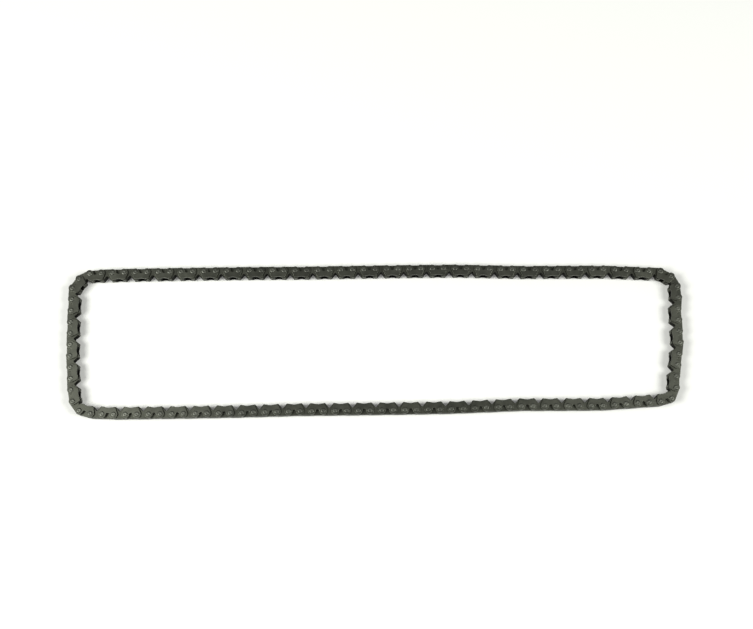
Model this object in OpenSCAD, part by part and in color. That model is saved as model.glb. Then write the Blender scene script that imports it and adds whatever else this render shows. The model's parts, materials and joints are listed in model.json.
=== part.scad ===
// Silent cam chain: an endless inverted-tooth timing chain with outside guide plates.
// The chain lies on its side, so its pins stand upright and its teeth point into the loop.
// Headings are in degrees, clockwise seen from above, and 0 runs along +X.

/* [Chain] */
// Distance between two neighbouring pins
pitch = 6.35; // [6:0.05:8]
// Toothed plates in each inner link, with one fewer between a pair of guide plates
inner_plates = 3; // [2:1:5]

/* [Plates] */
// Thickness of every plate
plate_t = 1.0; // [0.7:0.05:1.4]
// Side gap between neighbouring plates
side_gap = 0.05; // [0.03:0.01:0.1]
// Distance from the pin line to the back of a toothed plate
back_h = 2.2; // [2.15:0.05:2.3]
// Distance from the pin line to the tip of a tooth
tooth_h = 4.3; // [3.9:0.1:4.5]
// Angle between a tooth's outer flank and the upright
flank_angle = 30; // [29:1:32]
// Distance from the pin line to the bottom of the notch between two teeth
notch_top = 1.75; // [1.6:0.05:1.9]
// Angle between a side of the notch and the upright
notch_angle = 39; // [37:1:41]
// Radius of the round lobes of a guide plate
guide_r = 2.1; // [2:0.05:2.15]
// Distance from the pin line to the inner edge of a guide plate
guide_h = 3.9; // [3.5:0.1:4.1]
// Angle between a guide plate's end and the upright
guide_angle = 24; // [20:1:26]
// Rounding of a guide plate's ears
ear_r = 0.8; // [0.6:0.1:1]
// Width of the waist slot in a guide plate's back
waist_w = 2.2; // [1.8:0.1:2.4]

/* [Pins] */
// Diameter of a pin
pin_d = 2.3; // [2.1:0.05:2.5]
// Radial clearance of a pin in a toothed plate
pin_clear = 0.04; // [0.02:0.01:0.06]
// Height of a riveted pin head above its guide plate
head_h = 0.35; // [0.25:0.05:0.5]
// Diameter of a riveted pin head
head_d = 2.8; // [2.7:0.05:3]

/* [Loop] */
// Heading of the left third of the long runs
left_run_angle = -0.9; // [-1.5:0.1:-0.5]
// Heading of the middle third of the long runs
middle_run_angle = -0.8; // [-1.5:0.1:-0.2]
// Heading of the right third of the long runs
right_run_angle = -0.3; // [-1:0.1:0.5]
// Heading of the middle of the short runs
side_run_angle = 88.8; // [88:0.1:91]
// Turn from one link to the next, which bows the long runs outwards
bow_angle = 0.05; // [0:0.01:0.08]

/* [Hidden] */
$fn = 64;

// The loop, as stretches of links in running order: [links, heading].
// Each corner has three stretches of one link.
// The two stretches named here take the headings that close the loop.
closing_top = "top";
closing_left = "left";
closing_top_links = 6;
closing_left_links = 3;
stretches = [
    [3, 270.2],
    [1, 304.6], [1, 332.7], [1, 356.9],
    [2, 358],
    [11, left_run_angle],
    [5, -0.4],
    [13, middle_run_angle],
    [closing_top_links, closing_top],
    [7, right_run_angle],
    [5, 2.4],
    [1, 26.3], [1, 60.8], [1, 85.7],
    [1, 95.7],
    [3, side_run_angle],
    [3, 98.5],
    [1, 93.9], [1, 113], [1, 163.8],
    [5, 175.9],
    [7, right_run_angle + 180],
    [6, 177.6],
    [13, middle_run_angle + 180],
    [5, 178.4],
    [11, left_run_angle + 180],
    [2, 182.2],
    [1, 195.3], [1, 233.2], [1, 259.5],
    [closing_left_links, closing_left],
    [3, side_run_angle + 180]
];
bowed_links = 5;

// The rigid sections of the loop, as numbers of links in running order.
// A section of one link is an inner link that hinges at both ends.
section_links = [8, 1, 9, 1, 5, 1, 11, 1, 6, 7, 9, 3, 11, 7, 6, 1, 11, 1, 5, 1, 9, 1, 8, 3];

// A step of length 1 along a heading
function along(heading) = [cos(heading), -sin(heading)];
function heading_of(step) = atan2(-step.y, step.x);
function total(list, i = 0) = i < len(list) - 1 ? list[i] + total(list, i + 1) : list[i];

// A stretch's links turn a little from one to the next, so that a long run bows outwards
function turn(links, k) = links < bowed_links ? 0 : (k - (links - 1) / 2) * bow_angle;
function chord(links) = pitch * total([for (k = [0:links - 1]) cos(turn(links, k))]);

// The step that the two closing stretches have to cover between them
open_step = -pitch * total([
    for (s = stretches) if (is_num(s[1])) for (k = [0:s[0] - 1]) along(s[1] + turn(s[0], k))
]);
top_chord = chord(closing_top_links);
left_chord = chord(closing_left_links);
top_swing = acos((top_chord ^ 2 + norm(open_step) ^ 2 - left_chord ^ 2)
    / (2 * top_chord * norm(open_step)));
top_heading = heading_of(open_step) + top_swing;
left_heading = heading_of(open_step - top_chord * along(top_heading));

function stretch_heading(s) =
    s[1] == closing_top ? top_heading : s[1] == closing_left ? left_heading : s[1];
headings = [for (s = stretches) for (k = [0:s[0] - 1]) stretch_heading(s) + turn(s[0], k)];
links = len(headings);

// Pin centres, moved so that the loop's bounding box is centred on the origin
path = [for (j = 0, q = [0, 0]; j < links; q = q + pitch * along(headings[j]), j = j + 1) q];
path_x = [for (q = path) q.x];
path_y = [for (q = path) q.y];
middle = [min(path_x) + max(path_x), min(path_y) + max(path_y)] / 2;
pin_at = [for (q = path) q - middle];

// Odd links carry the guide plates and the pins, even links are the inner ones
function is_outer(j) = j % 2 == 1;
function before(i) = i > 0 ? section_links[i - 1] + before(i - 1) : 0;
sections = [
    for (i = [0:len(section_links) - 1])
        if (section_links[i] > 1) [before(i), before(i) + section_links[i] - 1]
];
singles = [for (i = [0:len(section_links) - 1]) if (section_links[i] == 1) before(i)];

// Plate layers, counted from the bottom guide plate
layer_step = plate_t + side_gap;
top_layer = 2 * inner_plates;
chain_w = 2 * head_h + top_layer * layer_step + plate_t;

pin_r = pin_d / 2;
press_fit = 0.01;
head_chamfer = 0.12;
dimple_r = 0.55;
dimple_h = 0.15;
// Overlap that keeps a straight edge from just touching a round one
bite = 0.03;
toe_chamfer = 0.3;
notch_r = 0.45;
dip = 0.35;
dip_r = 6;
waist_y = 0.4;

guide_colour = [0.30, 0.30, 0.27];
tooth_colour = [0.22, 0.22, 0.20];
pin_colour = [0.50, 0.49, 0.45];

// Place of a leaning edge that touches a circle, at a depth below the circle's centre
function edge_x(r, depth, lean) = -(r - depth * sin(lean)) / cos(lean);
function mirrored(points) = [for (i = [len(points) - 1:-1:0]) [pitch - points[i].x, points[i].y]];

// Both pin holes of a plate
module pin_holes(r) {
    for (x = [0, pitch]) translate([x, 0]) circle(r);
}

// Two round ends with straight edges that lean towards each other, as far as the toe's points
module plate_body(r, lean, toe, shoulder) {
    side = concat([[0, shoulder], [-(r - bite) * cos(lean), -(r - bite) * sin(lean)]], toe);
    for (x = [0, pitch]) translate([x, 0]) circle(r);
    polygon(concat(side, mirrored(side)));
}

// The notch between the two teeth of a toothed plate
module notch() {
    centre = notch_top + notch_r;
    r = notch_r - bite;
    edge = pitch / 2 + edge_x(r, centre + toe_chamfer - tooth_h, notch_angle);
    side = [
        [pitch / 2 - r * cos(notch_angle), r * sin(notch_angle) - centre],
        [edge, toe_chamfer - tooth_h],
        [edge - toe_chamfer, -tooth_h],
        [edge - toe_chamfer, -tooth_h - 1]
    ];
    translate([pitch / 2, -centre]) circle(notch_r);
    polygon(concat(side, mirrored(side)));
}

module toothed_outline() {
    edge = edge_x(back_h - bite, tooth_h - toe_chamfer, flank_angle);
    toe = [[edge, toe_chamfer - tooth_h], [edge + toe_chamfer, -tooth_h]];
    difference() {
        plate_body(back_h, flank_angle, toe, back_h - bite);
        notch();
        pin_holes(pin_r + pin_clear);
    }
}

module guide_outline() {
    ear = [edge_x(guide_r - ear_r, guide_h - ear_r, guide_angle), ear_r - guide_h];
    edge_depth = guide_h - ear_r * (1 - sin(guide_angle));
    toe = [[edge_x(guide_r - bite, edge_depth, guide_angle), -edge_depth], [ear.x, bite - guide_h]];
    difference() {
        union() {
            plate_body(guide_r, guide_angle, toe, waist_y);
            for (x = [ear.x, pitch - ear.x]) translate([x, ear.y]) circle(ear_r);
        }
        translate([pitch / 2, waist_y]) circle(waist_w / 2);
        translate([pitch / 2, dip - guide_h - dip_r]) circle(dip_r, $fn = 180);
        pin_holes(pin_r - press_fit);
    }
}

// Puts its children at a link, with the link's first pin at the origin
module at_link(j) {
    translate([pin_at[j].x, pin_at[j].y, 0]) rotate(-headings[j]) children();
}

module in_layer(k) {
    translate([0, 0, head_h + k * layer_step]) linear_extrude(plate_t) children();
}

// A pin with a riveted head at each end, and a punch mark in each head
module pin_post() {
    half = [
        [0, dimple_h],
        [dimple_r, 0],
        [head_d / 2 - head_chamfer, 0],
        [head_d / 2, head_chamfer],
        [head_d / 2, head_h],
        [pin_r, head_h]
    ];
    other = [for (i = [len(half) - 1:-1:0]) [half[i].x, chain_w - half[i].y]];
    rotate_extrude() polygon(concat(half, other));
}

// The guide plates of a section, at the bottom and at the top of each outer link
module guide_plates(section) {
    color(guide_colour)
        for (j = [section[0]:section[1]])
            if (is_outer(j)) at_link(j)
                for (k = [0, top_layer]) in_layer(k) guide_outline();
}

// The toothed plates of one link, in the odd layers of an inner link or the even ones of an outer
module toothed_link(j) {
    color(tooth_colour)
        at_link(j)
            for (k = [is_outer(j) ? 2 : 1:2:top_layer - 1]) in_layer(k) toothed_outline();
}

module toothed_plates(section) {
    for (j = [section[0]:section[1]]) toothed_link(j);
}

// Both pins of each outer link of a section
module pins(section) {
    color(pin_colour)
        for (j = [section[0]:section[1]])
            if (is_outer(j)) at_link(j)
                for (x = [0, pitch]) translate([x, 0, 0]) pin_post();
}

function two_digits(n) = str(n < 10 ? "0" : "", n);
function guide_name(n) = str("guide_plates_", two_digits(n));
function tooth_name(n) = str("toothed_plates_", two_digits(n));
function pin_name(n) = str("pins_", two_digits(n));
function single_name(n) = str("single_link_", two_digits(n));

for (n = [1:len(sections)]) {
    guide_plates(sections[n - 1]);
    toothed_plates(sections[n - 1]);
    pins(sections[n - 1]);
}
for (n = [1:len(singles)]) {
    toothed_link(singles[n - 1]);
}
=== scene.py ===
"""A silent cam chain that lies on its side: stamped link plates and riveted pins in oiled steel."""

import json
import math

import bmesh
import bpy
import numpy as np
from bpy.props import FloatProperty, FloatVectorProperty, IntProperty, PointerProperty
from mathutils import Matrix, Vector


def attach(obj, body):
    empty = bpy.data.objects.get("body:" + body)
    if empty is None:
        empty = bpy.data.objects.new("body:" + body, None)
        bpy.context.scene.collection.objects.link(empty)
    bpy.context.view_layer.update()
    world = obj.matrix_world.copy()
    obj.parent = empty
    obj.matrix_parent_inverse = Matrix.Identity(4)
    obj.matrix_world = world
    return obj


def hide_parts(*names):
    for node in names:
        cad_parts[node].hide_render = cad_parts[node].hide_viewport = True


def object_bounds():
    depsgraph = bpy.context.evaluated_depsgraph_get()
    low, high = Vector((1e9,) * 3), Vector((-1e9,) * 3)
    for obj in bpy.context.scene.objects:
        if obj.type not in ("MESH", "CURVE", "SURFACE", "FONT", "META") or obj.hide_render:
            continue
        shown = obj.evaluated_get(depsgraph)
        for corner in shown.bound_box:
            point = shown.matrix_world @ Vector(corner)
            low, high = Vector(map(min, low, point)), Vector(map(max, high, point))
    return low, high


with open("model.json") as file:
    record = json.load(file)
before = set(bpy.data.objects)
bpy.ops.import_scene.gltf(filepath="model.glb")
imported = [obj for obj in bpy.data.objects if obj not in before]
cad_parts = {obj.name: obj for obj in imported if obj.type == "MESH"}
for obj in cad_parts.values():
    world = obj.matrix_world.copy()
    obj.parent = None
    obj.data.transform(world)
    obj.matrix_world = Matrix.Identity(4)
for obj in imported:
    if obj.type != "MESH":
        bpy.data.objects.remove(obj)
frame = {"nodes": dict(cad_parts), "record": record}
cad_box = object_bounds()

bl_info = {
    "name": "Silent Cam Chain",
    "version": (1, 0, 0),
    "blender": (4, 5, 0),
    "location": "View3D > Sidebar > Cam Chain",
    "description": "Builds the plates, pins and stage of an inverted-tooth cam chain",
    "category": "Add Mesh",
}

MM = 0.001
# Two corners of one solid closer than this are the same corner
SAME_POINT = 1e-6

# A plate's flat sides have a normal steeper than the first, and its walls one flatter than the second
FLAT_SIDE = 0.999
WALL = 0.9
# Angles from which two neighbouring faces meet in a sharp edge
PLATE_CREASE = math.radians(38)
PIN_CREASE = math.radians(50)
PIN_SIDES = 24
# How much lighter a rolled edge, a tooth's outer flank and a pin's head are, up to 1: rubbed steel,
# and on the flank also a painted reflection
EDGE_WEAR = 0.6
FLANK_WEAR_AND_SHEEN = 0.7
HEAD_WEAR = 0.25
# Half the dip in a guide plate, as distance from the middle in millimetres and share of the depth
DIP_POINTS = ((2.0, 0.0), (1.1, 0.7), (0.4, 0.97))

# Noise scales of the blotches of oil and of the grain of plates and pins, in repeats per metre
BLOTCH_SCALE = 260
PLATE_GRAIN = 2400
PIN_GRAIN = 3200
# Noise values at which a blotch of oil begins and ends, and how dark it is
BLOTCH_RANGE = (0.32, 0.68)
BLOTCH_DARK = 0.84
# How much smoother the oiled spots are, and how much rougher the dry ones
SMOOTHER = 0.09
ROUGHER = 0.11
HOLLOW_ROUGHER = 0.3
GRAIN_STRENGTH = 0.12
GRAIN_HEIGHT = 0.00002
# Distance in millimetres from the middle of the chain to the inner side of a guide plate,
# and the distances past it between which the painted shade, partly oil, on that side fades out
GUIDE_INNER_SIDE = 2.65
INNER_FADE = (0.35, 0.05)

# Height of the floor, just under the lowest pin heads
FLOOR_Z = -0.00002
FLOOR_HALF_WIDTH = 4.0
SENSOR_WIDTH = 36
WORLD_LIGHT = 0.22
# Place in metres, width in metres and power in watts of each lamp
LAMPS = {
    "soft_left": ((-0.62, -0.16, 0.88), 0.5, 8.8),
    "soft_right": ((0.66, -0.16, 0.9), 0.5, 6.8),
}


class ChainSizes(bpy.types.PropertyGroup):
    """Sizes of the plates and pins, in millimetres"""

    back: FloatProperty(name="Back", description="Pin line to a toothed plate's back", default=2.2)
    tooth: FloatProperty(name="Tooth", description="Pin line to a tooth's tip", default=4.3)
    flank: FloatProperty(
        name="Flank",
        description="Lean of a tooth's outer flank",
        default=math.radians(30),
        unit="ROTATION",
    )
    notch_top: FloatProperty(
        name="Notch Top", description="Pin line to the bottom of the notch", default=1.75
    )
    notch_round: FloatProperty(
        name="Notch Round", description="Radius at the bottom of the notch", default=0.45
    )
    notch_lean: FloatProperty(
        name="Notch Lean",
        description="Lean of the sides of the notch",
        default=math.radians(39),
        unit="ROTATION",
    )
    toe_round: FloatProperty(
        name="Toe Round", description="Rounding of a tooth's tip", default=0.3
    )
    lobe: FloatProperty(name="Lobe", description="Radius of a guide plate's lobes", default=2.1)
    guide_flank: FloatProperty(
        name="Guide Flank",
        description="Lean of a guide plate's ends",
        default=math.radians(24),
        unit="ROTATION",
    )
    ear: FloatProperty(
        name="Ear", description="Pin line to a guide plate's inner edge", default=3.9
    )
    ear_round: FloatProperty(
        name="Ear Round", description="Radius of a guide plate's ears", default=0.8
    )
    dip: FloatProperty(name="Dip", description="Depth of the dip between the ears", default=0.35)
    waist: FloatProperty(
        name="Waist", description="Width of the slot in a guide plate's back", default=2.2
    )
    waist_y: FloatProperty(
        name="Waist Place", description="Pin line to the slot's centre", default=0.4
    )
    shaft: FloatProperty(name="Shaft", description="Radius of a pin", default=1.15)
    head: FloatProperty(name="Head", description="Radius of a riveted head", default=1.4)
    head_height: FloatProperty(
        name="Head Height", description="Height of a riveted head", default=0.35
    )
    edge: FloatProperty(name="Edge", description="Rolled edge of a stamped plate", default=0.09)


class ChainFinish(bpy.types.PropertyGroup):
    """Colours and gloss of the steels"""

    guide: FloatVectorProperty(
        name="Guide Plates",
        description="Colour of the guide plates",
        subtype="COLOR",
        default=(0.078, 0.082, 0.064),
    )
    tooth: FloatVectorProperty(
        name="Toothed Plates",
        description="Colour of the toothed plates",
        subtype="COLOR",
        default=(0.075, 0.079, 0.061),
    )
    pin: FloatVectorProperty(
        name="Pins",
        description="Colour of the pins",
        subtype="COLOR",
        default=(0.105, 0.11, 0.09),
    )
    plate_roughness: FloatProperty(
        name="Plate Roughness", description="Roughness of the plates", default=0.38
    )
    pin_roughness: FloatProperty(
        name="Pin Roughness", description="Roughness of the pins", default=0.4
    )
    # Lighter rubbed edges; on a tooth's outer flank this is also a painted reflection
    worn_and_sheen: FloatProperty(
        name="Worn Edges", description="How much lighter rubbed edges are", default=1.7
    )
    # Painted shade, partly oil: how dark the notch walls and the guide plates' inner sides are made
    oil_and_shade: FloatProperty(name="Oil", description="How dark the oily hollows are", default=0.12)
    tone_spread: FloatProperty(
        name="Tone Spread", description="Difference from plate to plate", default=0.16
    )
    seed: IntProperty(
        name="Seed", description="Seed of the difference from plate to plate", default=7
    )


class StageSettings(bpy.types.PropertyGroup):
    """Floor and camera"""

    floor: FloatVectorProperty(
        name="Floor",
        description="Colour of the floor",
        subtype="COLOR",
        default=(0.84, 0.85, 0.8),
    )
    floor_glow: FloatProperty(
        name="Floor Glow", description="Light added where the camera sees the floor", default=0.09
    )
    distance: FloatProperty(
        name="Distance", description="Camera to the chain", default=0.7049, unit="LENGTH"
    )
    elevation: FloatProperty(
        name="Elevation",
        description="Camera's height above the horizon",
        default=math.radians(79.22),
        unit="ROTATION",
    )
    lens: FloatProperty(
        name="Lens", description="Focal length on a 36 mm sensor, in millimetres", default=60.9
    )
    target_x: FloatProperty(
        name="Target X",
        description="Point that the camera looks at",
        default=0.0032,
        unit="LENGTH",
    )
    target_y: FloatProperty(
        name="Target Y",
        description="Point that the camera looks at",
        default=0.0021,
        unit="LENGTH",
    )
    shift_x: FloatProperty(
        name="Shift X", description="Sideways shift of the frame", default=-0.0058
    )
    shift_y: FloatProperty(
        name="Shift Y", description="Upward shift of the frame", default=0.031
    )


def solid_boxes(node):
    """Lowest and highest corner of each solid of a node."""
    bm = bmesh.new()
    bm.from_mesh(frame["nodes"][node].data)
    bmesh.ops.remove_doubles(bm, verts=bm.verts, dist=SAME_POINT)
    seen = set()
    boxes = []
    for start in bm.verts:
        if start in seen:
            continue
        seen.add(start)
        group = [start]
        for vert in group:
            for edge in vert.link_edges:
                other = edge.other_vert(vert)
                if other not in seen:
                    seen.add(other)
                    group.append(other)
        corners = np.array([vert.co for vert in group])
        boxes.append((corners.min(axis=0), corners.max(axis=0)))
    bm.free()
    return boxes


def nodes_called(start):
    return sorted(name for name in frame["nodes"] if name.startswith(start))


def body_of_node():
    bodies = frame["record"]["behaviour"]["bodies"]
    return {node: body for body, nodes in bodies.items() for node in nodes}


def clockwise_loop(centres):
    """The pin centres in running order, clockwise seen from above."""
    rest = [tuple(c) for c in centres]
    loop = [rest.pop(0)]
    while rest:
        here = np.array(loop[-1])
        nearest = min(rest, key=lambda p: np.hypot(p[0] - here[0], p[1] - here[1]))
        rest.remove(nearest)
        loop.append(nearest)
    loop = np.array(loop)
    after = np.roll(loop, -1, axis=0)
    area = 0.5 * np.sum(loop[:, 0] * after[:, 1] - after[:, 0] * loop[:, 1])
    return loop if area < 0 else loop[::-1]


class Loop:
    """The links of the chain, read from the pins and plates of the frame."""

    def __init__(self):
        boxes = [b for node in nodes_called("pins_") for b in solid_boxes(node)]
        self.pins = clockwise_loop([(low + high)[:2] / 2 for low, high in boxes])
        self.height = max(high[2] for _, high in boxes)
        step = np.roll(self.pins, -1, axis=0) - self.pins
        self.middles = self.pins + step / 2
        self.turns = np.arctan2(step[:, 1], step[:, 0])
        self.pitch = float(np.median(np.hypot(step[:, 0], step[:, 1])))

    def nearest_link(self, low, high):
        away = self.middles - ((low + high) / 2)[:2]
        return int(np.argmin(np.hypot(away[:, 0], away[:, 1])))

    def plate_places(self, node):
        """First pin, lower face and turn of each plate of a node."""
        places = []
        for low, high in solid_boxes(node):
            link = self.nearest_link(low, high)
            places.append((*self.pins[link], low[2], self.turns[link]))
        return places

    def pin_places(self, node):
        return [(*((low + high) / 2)[:2], 0.0, 0.0) for low, high in solid_boxes(node)]


def plate_thickness(node):
    low, high = solid_boxes(node)[-1]
    return float(high[2] - low[2])


def arc(centre, radius, start, end, steps):
    """Points on an arc, from start to end in degrees."""
    angles = np.radians(np.linspace(start, end, steps + 1))
    return [
        (centre[0] + radius * math.cos(a), centre[1] + radius * math.sin(a)) for a in angles
    ]


def rounded(corner, before, after, radius, steps=2):
    """A corner with its point cut back and rounded."""
    corner = Vector(corner)
    start = corner + (Vector(before) - corner).normalized() * radius
    end = corner + (Vector(after) - corner).normalized() * radius
    points = []
    for k in range(steps + 1):
        t = k / steps
        points.append(tuple((1 - t) ** 2 * start + 2 * t * (1 - t) * corner + t * t * end))
    return points


def flank_point(radius, depth, lean):
    """Point of the leaning flank at a depth below the pin line."""
    return (-(radius - depth * math.sin(lean)) / math.cos(lean), -depth)


def mirrored(points, pitch):
    return [(pitch - x, y) for x, y in reversed(points)]


def toothed_outline(sizes, pitch):
    """Outline of a toothed plate in millimetres, with its first pin at the origin."""
    lean = math.degrees(sizes.flank)
    tip = flank_point(sizes.back, sizes.tooth, sizes.flank)
    flank_start = flank_point(sizes.back, sizes.back * math.sin(sizes.flank), sizes.flank)
    notch = (pitch / 2, -sizes.notch_top - sizes.notch_round)
    notch_side = 180 - math.degrees(sizes.notch_lean)
    notch_arc = arc(notch, sizes.notch_round, notch_side, 100, 2)
    reach = flank_point(sizes.notch_round, -notch[1] - sizes.tooth, sizes.notch_lean)[0]
    inner_tip = (notch[0] + reach, -sizes.tooth)
    half = arc((0, 0), sizes.back, 90, 180 + lean, 8)
    half += rounded(tip, flank_start, inner_tip, sizes.toe_round)
    half += rounded(inner_tip, tip, notch_arc[0], sizes.toe_round)
    half += notch_arc
    return half + mirrored(half, pitch)


def guide_outline(sizes, pitch):
    """Outline of a guide plate in millimetres, with its first pin at the origin."""
    lean = math.degrees(sizes.guide_flank)
    ear_depth = sizes.ear - sizes.ear_round
    ear = flank_point(sizes.lobe - sizes.ear_round, ear_depth, sizes.guide_flank)
    slot = (pitch / 2, sizes.waist_y)
    lobe_end = math.degrees(math.asin(sizes.waist_y / sizes.lobe))
    half = arc(slot, sizes.waist / 2, 255, 190, 4)
    half += arc((0, 0), sizes.lobe, lobe_end + 4, 180 + lean, 14)
    half += arc(ear, sizes.ear_round, 180 + lean, 270, 4)
    half += [(pitch / 2 - away, share * sizes.dip - sizes.ear) for away, share in DIP_POINTS]
    return half + mirrored(half, pitch)


def new_object(name, mesh):
    thing = bpy.data.objects.new(name, mesh)
    bpy.context.scene.collection.objects.link(thing)
    return thing


def stamped_plate(name, outline, thickness, edge, segments, wall_wear_sheen_and_shade=None):
    """A plate with rolled edges. The attribute rim marks faces painted lighter (rubbed edges, and on
    a tooth's flank rubbed steel with a painted reflection), and the second attribute marks faces
    painted dark as shade, partly oil.
    """
    bm = bmesh.new()
    rim = bm.faces.layers.float.new("rim")
    shade_and_oil = bm.faces.layers.float.new("shade_and_oil")
    verts = [bm.verts.new((x * MM, y * MM, 0)) for x, y in outline]
    face = bm.faces.new(verts)
    grown = bmesh.ops.extrude_face_region(bm, geom=[face])
    top = [v for v in grown["geom"] if isinstance(v, bmesh.types.BMVert)]
    bmesh.ops.translate(bm, verts=top, vec=(0, 0, thickness))
    bmesh.ops.recalc_face_normals(bm, faces=bm.faces)
    flat_sides = [f for f in bm.faces if abs(f.normal.z) > WALL]
    bevelled = bmesh.ops.bevel(
        bm,
        geom=list({e for f in flat_sides for e in f.edges}),
        offset=edge * MM,
        offset_type="OFFSET",
        segments=segments,
        profile=0.6,
        affect="EDGES",
    )
    for f in bevelled["faces"]:
        f[rim] = EDGE_WEAR
    walls = [f for f in bm.faces if abs(f.normal.z) < WALL] if wall_wear_sheen_and_shade else []
    for f in walls:
        centre = f.calc_center_median() / MM
        f[rim], f[shade_and_oil] = wall_wear_sheen_and_shade(centre.x, centre.y, f[rim])
    bmesh.ops.triangulate(bm, faces=[f for f in bm.faces if len(f.verts) > 4])
    mesh = bpy.data.meshes.new(name)
    bm.to_mesh(mesh)
    bm.free()
    mesh.shade_smooth()
    mesh.set_sharp_from_angle(angle=PLATE_CREASE)
    for polygon in mesh.polygons:
        if abs(polygon.normal.z) > FLAT_SIDE:
            polygon.use_smooth = False
    return new_object(name, mesh)


def tooth_wear_sheen_and_shade(sizes, pitch):
    """A tooth's outer flank and tip are painted lighter, as steel rubbed by the sprocket and as a
    painted reflection, and the notch walls are painted dark as shade, partly oil.
    """
    notch_from = sizes.notch_top - 0.2
    notch_to = sizes.tooth - 0.4
    notch_reach = 2.2
    flank_from = 1.2

    def wear_sheen_and_shade(x, y, rim):
        # Notch walls: painted shade, partly oil
        if notch_from < -y < notch_to and abs(x - pitch / 2) < notch_reach:
            return 0.0, 1.0
        # Outer flank and tip: painted lighter, as rubbed steel and a painted reflection
        if -y > flank_from:
            return max(rim, FLANK_WEAR_AND_SHEEN), 0.0
        return rim, 0.0

    return wear_sheen_and_shade


def riveted_pin(name, sizes, height):
    """A pin whose ends are spread into heads, with a punch mark in each."""
    low = [
        (0.0, 0.05),
        (0.3, 0.04),
        (0.55, 0.01),
        (0.7, 0.0),
        (sizes.head - 0.45, 0.01),
        (sizes.head - 0.2, 0.06),
        (sizes.head - 0.06, 0.15),
        (sizes.head, 0.28),
        (sizes.head, sizes.head_height),
        (sizes.shaft, sizes.head_height),
    ]
    top = height / MM
    profile = low + [(r, top - z) for r, z in reversed(low)]
    angles = [2 * math.pi * k / PIN_SIDES for k in range(PIN_SIDES)]
    bm = bmesh.new()
    rim = bm.faces.layers.float.new("rim")
    rings = []
    for r, z in profile:
        if r == 0:
            rings.append([bm.verts.new((0, 0, z * MM))])
            continue
        ring = [(r * MM * math.cos(a), r * MM * math.sin(a), z * MM) for a in angles]
        rings.append([bm.verts.new(point) for point in ring])
    for i, (a, b) in enumerate(zip(rings, rings[1:])):
        on_edge = min(profile[i][0], profile[i + 1][0]) > sizes.shaft
        for k in range(PIN_SIDES):
            n = (k + 1) % PIN_SIDES
            corners = [a[k % len(a)], a[n % len(a)], b[n % len(b)], b[k % len(b)]]
            face = bm.faces.new(list(dict.fromkeys(corners)))
            face[rim] = HEAD_WEAR if on_edge else 0.0
    bmesh.ops.recalc_face_normals(bm, faces=bm.faces)
    mesh = bpy.data.meshes.new(name)
    bm.to_mesh(mesh)
    bm.free()
    mesh.shade_smooth()
    mesh.set_sharp_from_angle(angle=PIN_CREASE)
    return new_object(name, mesh)


def repeat_tree():
    """Geometry Nodes that put one shape at each point, turned by the point's attribute turn."""
    tree = bpy.data.node_groups.new("Repeat Along Chain", "GeometryNodeTree")
    face = tree.interface
    face.new_socket("Geometry", in_out="INPUT", socket_type="NodeSocketGeometry")
    face.new_socket("Shape", in_out="INPUT", socket_type="NodeSocketObject")
    face.new_socket("Finish", in_out="INPUT", socket_type="NodeSocketMaterial")
    face.new_socket("Tone Spread", in_out="INPUT", socket_type="NodeSocketFloat")
    face.new_socket("Seed", in_out="INPUT", socket_type="NodeSocketInt")
    face.new_socket("Geometry", in_out="OUTPUT", socket_type="NodeSocketGeometry")
    node = tree.nodes.new
    link = tree.links.new
    given = node("NodeGroupInput")
    result = node("NodeGroupOutput")
    shape = node("GeometryNodeObjectInfo")
    shape.inputs["As Instance"].default_value = True
    turn = node("GeometryNodeInputNamedAttribute")
    turn.data_type = "FLOAT"
    turn.inputs["Name"].default_value = "turn"
    upright = node("ShaderNodeCombineXYZ")
    to_rotation = node("FunctionNodeEulerToRotation")
    place = node("GeometryNodeInstanceOnPoints")
    tone = node("FunctionNodeRandomValue")
    tone.data_type = "FLOAT"
    lowest = node("ShaderNodeMath")
    lowest.operation = "MULTIPLY"
    lowest.inputs[1].default_value = -1.0
    store = node("GeometryNodeStoreNamedAttribute")
    store.data_type = "FLOAT"
    store.domain = "INSTANCE"
    store.inputs["Name"].default_value = "tone"
    realize = node("GeometryNodeRealizeInstances")
    finish = node("GeometryNodeSetMaterial")
    tone_low = next(s for s in tone.inputs if s.name == "Min" and s.type == "VALUE")
    tone_high = next(s for s in tone.inputs if s.name == "Max" and s.type == "VALUE")
    tone_value = next(s for s in tone.outputs if s.type == "VALUE")
    link(given.outputs["Geometry"], place.inputs["Points"])
    link(given.outputs["Shape"], shape.inputs["Object"])
    link(shape.outputs["Geometry"], place.inputs["Instance"])
    link(turn.outputs["Attribute"], upright.inputs["Z"])
    link(upright.outputs["Vector"], to_rotation.inputs[0])
    link(to_rotation.outputs[0], place.inputs["Rotation"])
    link(given.outputs["Tone Spread"], lowest.inputs[0])
    link(lowest.outputs[0], tone_low)
    link(given.outputs["Tone Spread"], tone_high)
    link(given.outputs["Seed"], tone.inputs["Seed"])
    link(place.outputs["Instances"], store.inputs["Geometry"])
    link(tone_value, store.inputs["Value"])
    link(store.outputs["Geometry"], realize.inputs["Geometry"])
    link(realize.outputs["Geometry"], finish.inputs["Geometry"])
    link(given.outputs["Finish"], finish.inputs["Material"])
    link(finish.outputs["Geometry"], result.inputs["Geometry"])
    return tree


def socket_id(tree, name):
    return next(
        item.identifier
        for item in tree.interface.items_tree
        if item.name == name and item.in_out == "INPUT"
    )


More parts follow.
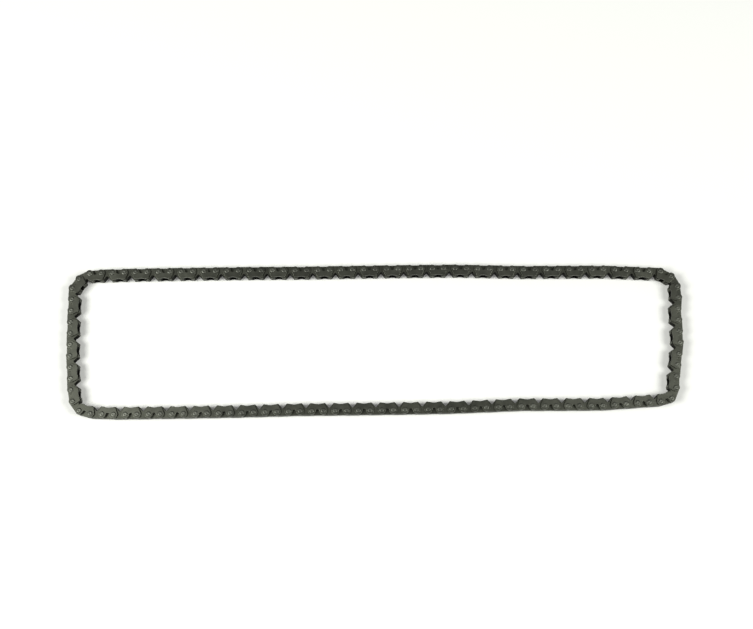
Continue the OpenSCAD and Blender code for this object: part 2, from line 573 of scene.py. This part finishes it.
def repeated(name, places, shape, tree, material, seed):
    """A plain mesh piece with the shape at each place."""
    finish = bpy.context.scene.chain_finish
    mesh = bpy.data.meshes.new(name + "_points")
    mesh.from_pydata([p[:3] for p in places], [], [])
    turn = mesh.attributes.new("turn", "FLOAT", "POINT")
    turn.data.foreach_set("value", [p[3] for p in places])
    points = new_object(name + "_points", mesh)
    modifier = points.modifiers.new("Repeat", "NODES")
    modifier.node_group = tree
    modifier[socket_id(tree, "Shape")] = shape
    modifier[socket_id(tree, "Finish")] = material
    modifier[socket_id(tree, "Tone Spread")] = finish.tone_spread
    modifier[socket_id(tree, "Seed")] = seed
    bpy.context.view_layer.update()
    evaluated = points.evaluated_get(bpy.context.evaluated_depsgraph_get())
    plain = bpy.data.meshes.new_from_object(evaluated)
    plain.name = name
    bpy.data.objects.remove(points)
    if not plain.polygons:
        raise RuntimeError(name + " has no faces")
    return new_object(name, plain)


def attribute(nodes, name):
    node = nodes.new("ShaderNodeAttribute")
    node.attribute_name = name
    return node.outputs["Fac"]


def calculated(nodes, link, operation, *values):
    """Result of a Math node. Each value is a number or another node's output."""
    node = nodes.new("ShaderNodeMath")
    node.operation = operation
    for socket, value in zip(node.inputs, values):
        if isinstance(value, bpy.types.NodeSocket):
            link(value, socket)
        else:
            socket.default_value = value
    return node.outputs[0]


def remapped(nodes, link, value, settings):
    """Result of a Map Range node with these settings."""
    node = nodes.new("ShaderNodeMapRange")
    for name, number in settings.items():
        node.inputs[name].default_value = number
    link(value, node.inputs["Value"])
    return node.outputs["Result"]


def towards(nodes, link, amount, first, second):
    """The first colour, which goes over to the second as the amount rises."""
    node = nodes.new("ShaderNodeMix")
    node.data_type = "RGBA"
    link(amount, node.inputs["Factor"])
    sockets = [s for s in node.inputs if s.type == "RGBA"]
    link(first, sockets[0])
    sockets[1].default_value = (*second, 1)
    return next(s for s in node.outputs if s.type == "RGBA")


def noise(nodes, link, coords, scale, detail):
    node = nodes.new("ShaderNodeTexNoise")
    node.inputs["Scale"].default_value = scale
    node.inputs["Detail"].default_value = detail
    link(coords.outputs["Object"], node.inputs["Vector"])
    return node.outputs["Fac"]


def shade_and_oil_amount(nodes, link, coords, inner_side):
    """Where painted shade, partly oil, darkens a steel: the faces marked for it, and what lies nearer
    the chain's middle.
    """
    marked = attribute(nodes, "shade_and_oil")
    if not inner_side:
        return marked
    # A guide plate's inner side, towards the chain's middle, is painted dark as shade, partly oil
    parts = nodes.new("ShaderNodeSeparateXYZ")
    link(coords.outputs["Object"], parts.inputs["Vector"])
    from_middle = calculated(nodes, link, "SUBTRACT", parts.outputs["Z"], cad_box[1][2] / 2)
    distance = calculated(nodes, link, "ABSOLUTE", from_middle)
    fade = {
        "From Min": (inner_side + INNER_FADE[0]) * MM,
        "From Max": (inner_side + INNER_FADE[1]) * MM,
    }
    inside = remapped(nodes, link, distance, fade)
    return calculated(nodes, link, "MAXIMUM", marked, inside)


def steel(name, colour, roughness, metallic, grain, inner_side=0.0):
    """Dark oiled steel: blotches of oil, fine grain, lighter rubbed edges with a painted reflection
    on the tooth flanks, painted shade (partly oil) in the hollows, a tone for each plate.
    """
    finish = bpy.context.scene.chain_finish
    material = bpy.data.materials.new(name)
    material.use_nodes = True
    nodes = material.node_tree.nodes
    link = material.node_tree.links.new
    shader = nodes["Principled BSDF"]
    coords = nodes.new("ShaderNodeTexCoord")
    blotch = noise(nodes, link, coords, BLOTCH_SCALE, 3)
    fine = noise(nodes, link, coords, grain, 4)

    blotched = nodes.new("ShaderNodeValToRGB")
    for element, place, share in zip(blotched.color_ramp.elements, BLOTCH_RANGE, (BLOTCH_DARK, 1)):
        element.position = place
        element.color = (*[share * c for c in colour], 1)
    link(blotch, blotched.inputs["Fac"])
    # Rubbed edges painted lighter; on a tooth's outer flank also a painted reflection
    worn_and_sheen = calculated(nodes, link, "MULTIPLY", attribute(nodes, "rim"), fine)
    rubbed_and_sheen = [min(1.0, finish.worn_and_sheen * c) for c in colour]
    edged = towards(nodes, link, worn_and_sheen, blotched.outputs["Color"], rubbed_and_sheen)
    toned = nodes.new("ShaderNodeHueSaturation")
    tone = calculated(nodes, link, "ADD", attribute(nodes, "tone"), 1.0)
    link(tone, toned.inputs["Value"])
    link(edged, toned.inputs["Color"])
    # Painted shade, partly oil, on the notch walls and the guide plates' inner sides
    oil_and_shade = shade_and_oil_amount(nodes, link, coords, inner_side)
    shaded_and_oiled = towards(nodes, link, oil_and_shade, toned.outputs["Color"], [finish.oil_and_shade * c for c in colour])
    link(shaded_and_oiled, shader.inputs["Base Color"])

    gloss = {"To Min": roughness - SMOOTHER, "To Max": roughness + ROUGHER}
    rough = remapped(nodes, link, blotch, gloss)
    duller = calculated(nodes, link, "MULTIPLY_ADD", oil_and_shade, HOLLOW_ROUGHER, rough)
    link(duller, shader.inputs["Roughness"])
    bump = nodes.new("ShaderNodeBump")
    bump.inputs["Strength"].default_value = GRAIN_STRENGTH
    bump.inputs["Distance"].default_value = GRAIN_HEIGHT
    link(fine, bump.inputs["Height"])
    link(bump.outputs["Normal"], shader.inputs["Normal"])
    shader.inputs["Metallic"].default_value = metallic
    return material


class CHAIN_OT_steels(bpy.types.Operator):
    """Makes the three steels and the tree that repeats a shape along the chain"""

    bl_idname = "chain.steels"
    bl_label = "Steels"

    def execute(self, context):
        finish = context.scene.chain_finish
        gloss = finish.plate_roughness
        # The guide plates get painted shade, partly oil, on their inner sides
        steel("Guide Plate Steel", finish.guide, gloss, 0.88, PLATE_GRAIN, GUIDE_INNER_SIDE)
        steel("Toothed Plate Steel", finish.tooth, gloss, 0.88, PLATE_GRAIN)
        steel("Pin Steel", finish.pin, finish.pin_roughness, 0.94, PIN_GRAIN)
        repeat_tree()
        return {"FINISHED"}


def dress(start, shape, material, places_of):
    """One repeated piece for each node whose name has this start."""
    tree = bpy.data.node_groups["Repeat Along Chain"]
    first_seed = bpy.context.scene.chain_finish.seed
    body_of = body_of_node()
    for k, node in enumerate(nodes_called(start)):
        name = "dressed_" + node
        piece = repeated(name, places_of(node), shape, tree, material, first_seed + k)
        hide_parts(node)
        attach(piece, body_of[node])


class CHAIN_OT_guide_plates(bpy.types.Operator):
    """Makes the guide plates, with lobes round the pins and a slot between them"""

    bl_idname = "chain.guide_plates"
    bl_label = "Guide Plates"

    def execute(self, context):
        sizes = context.scene.chain_sizes
        loop = Loop()
        thickness = plate_thickness(nodes_called("guide_plates_")[0])
        outline = guide_outline(sizes, loop.pitch / MM)
        shape = stamped_plate("guide_plate_shape", outline, thickness, sizes.edge, 2)
        material = bpy.data.materials["Guide Plate Steel"]
        dress("guide_plates_", shape, material, loop.plate_places)
        bpy.data.objects.remove(shape)
        return {"FINISHED"}


class CHAIN_OT_toothed_plates(bpy.types.Operator):
    """Makes the toothed plates of all links"""

    bl_idname = "chain.toothed_plates"
    bl_label = "Toothed Plates"

    def execute(self, context):
        sizes = context.scene.chain_sizes
        loop = Loop()
        thickness = plate_thickness(nodes_called("toothed_plates_")[0])
        outline = toothed_outline(sizes, loop.pitch / MM)
        wear_sheen_and_shade = tooth_wear_sheen_and_shade(sizes, loop.pitch / MM)
        shape = stamped_plate("toothed_plate_shape", outline, thickness, sizes.edge, 1, wear_sheen_and_shade)
        material = bpy.data.materials["Toothed Plate Steel"]
        for start in ("toothed_plates_", "single_link_"):
            dress(start, shape, material, loop.plate_places)
        bpy.data.objects.remove(shape)
        return {"FINISHED"}


class CHAIN_OT_pins(bpy.types.Operator):
    """Makes the pins with their riveted heads"""

    bl_idname = "chain.pins"
    bl_label = "Pins"

    def execute(self, context):
        sizes = context.scene.chain_sizes
        loop = Loop()
        shape = riveted_pin("pin_shape", sizes, loop.height)
        material = bpy.data.materials["Pin Steel"]
        dress("pins_", shape, material, loop.pin_places)
        bpy.data.objects.remove(shape)
        return {"FINISHED"}


def floor_material(settings):
    """A pale floor that takes the chain's shadow and is near white to the camera."""
    material = bpy.data.materials.new("Floor")
    material.use_nodes = True
    nodes = material.node_tree.nodes
    link = material.node_tree.links.new
    shader = nodes["Principled BSDF"]
    shader.inputs["Base Color"].default_value = (*settings.floor, 1)
    shader.inputs["Roughness"].default_value = 0.9
    shader.inputs["Specular IOR Level"].default_value = 0.1
    glow = nodes.new("ShaderNodeEmission")
    glow.inputs["Color"].default_value = (1, 1, 0.985, 1)
    path = nodes.new("ShaderNodeLightPath").outputs
    mirrored_ray = calculated(
        nodes, link, "MAXIMUM", path["Is Glossy Ray"], path["Is Transmission Ray"]
    )
    any_ray = calculated(nodes, link, "MAXIMUM", path["Is Camera Ray"], mirrored_ray)
    seen = calculated(nodes, link, "MULTIPLY", any_ray, settings.floor_glow)
    link(seen, glow.inputs["Strength"])
    both = nodes.new("ShaderNodeAddShader")
    link(shader.outputs[0], both.inputs[0])
    link(glow.outputs[0], both.inputs[1])
    link(both.outputs[0], nodes["Material Output"].inputs["Surface"])
    return material


def add_floor(settings):
    bm = bmesh.new()
    bmesh.ops.create_grid(bm, x_segments=1, y_segments=1, size=FLOOR_HALF_WIDTH)
    bmesh.ops.translate(bm, verts=bm.verts, vec=(0, 0, FLOOR_Z))
    mesh = bpy.data.meshes.new("floor")
    bm.to_mesh(mesh)
    bm.free()
    mesh.materials.append(floor_material(settings))
    new_object("floor", mesh)


def add_world(scene):
    world = bpy.data.worlds.new("Studio")
    scene.world = world
    world.use_nodes = True
    background = world.node_tree.nodes["Background"]
    background.inputs["Color"].default_value = (1, 1, 1, 1)
    background.inputs["Strength"].default_value = WORLD_LIGHT


def add_lamp(name, place, size, power):
    """A soft round lamp that points at the middle of the chain."""
    lamp = bpy.data.lights.new(name, "AREA")
    lamp.shape = "DISK"
    lamp.size = size
    lamp.energy = power
    thing = new_object(name, lamp)
    thing.location = place
    thing.rotation_euler = (-Vector(place)).to_track_quat("-Z", "Y").to_euler()


def add_camera(scene, settings):
    rise = settings.elevation
    target = Vector((settings.target_x, settings.target_y, cad_box[1][2] / 2))
    away = Vector((0, -math.cos(rise), math.sin(rise)))
    data = bpy.data.cameras.new("camera")
    data.lens = settings.lens
    data.sensor_width = SENSOR_WIDTH
    data.shift_x = settings.shift_x
    data.shift_y = settings.shift_y
    camera = new_object("camera", data)
    camera.location = target + away * settings.distance
    camera.rotation_euler = (-away).to_track_quat("-Z", "Y").to_euler()
    scene.camera = camera


class CHAIN_OT_stage(bpy.types.Operator):
    """Sets the floor, the lamps, the world and the camera"""

    bl_idname = "chain.stage"
    bl_label = "Stage"

    def execute(self, context):
        scene = context.scene
        add_floor(scene.chain_stage)
        add_world(scene)
        for name, (place, size, power) in LAMPS.items():
            add_lamp(name, place, size, power)
        add_camera(scene, scene.chain_stage)
        scene.view_settings.view_transform = "Standard"
        return {"FINISHED"}


class CHAIN_PT_panel(bpy.types.Panel):
    """Buttons for the pieces of the chain"""

    bl_idname = "CHAIN_PT_panel"
    bl_label = "Cam Chain"
    bl_space_type = "VIEW_3D"
    bl_region_type = "UI"
    bl_category = "Cam Chain"

    def draw(self, context):
        for operator in OPERATORS:
            self.layout.operator(operator.bl_idname)


OPERATORS = (
    CHAIN_OT_steels,
    CHAIN_OT_guide_plates,
    CHAIN_OT_toothed_plates,
    CHAIN_OT_pins,
    CHAIN_OT_stage,
)
CLASSES = (ChainSizes, ChainFinish, StageSettings, *OPERATORS, CHAIN_PT_panel)


def register():
    for cls in CLASSES:
        bpy.utils.register_class(cls)
    bpy.types.Scene.chain_sizes = PointerProperty(type=ChainSizes)
    bpy.types.Scene.chain_finish = PointerProperty(type=ChainFinish)
    bpy.types.Scene.chain_stage = PointerProperty(type=StageSettings)


def unregister():
    del bpy.types.Scene.chain_stage
    del bpy.types.Scene.chain_finish
    del bpy.types.Scene.chain_sizes
    for cls in reversed(CLASSES):
        bpy.utils.unregister_class(cls)


def main():
    register()
    bpy.ops.chain.steels()
    bpy.ops.chain.guide_plates()
    bpy.ops.chain.toothed_plates()
    bpy.ops.chain.pins()
    bpy.ops.chain.stage()


if __name__ == "__main__":
    main()
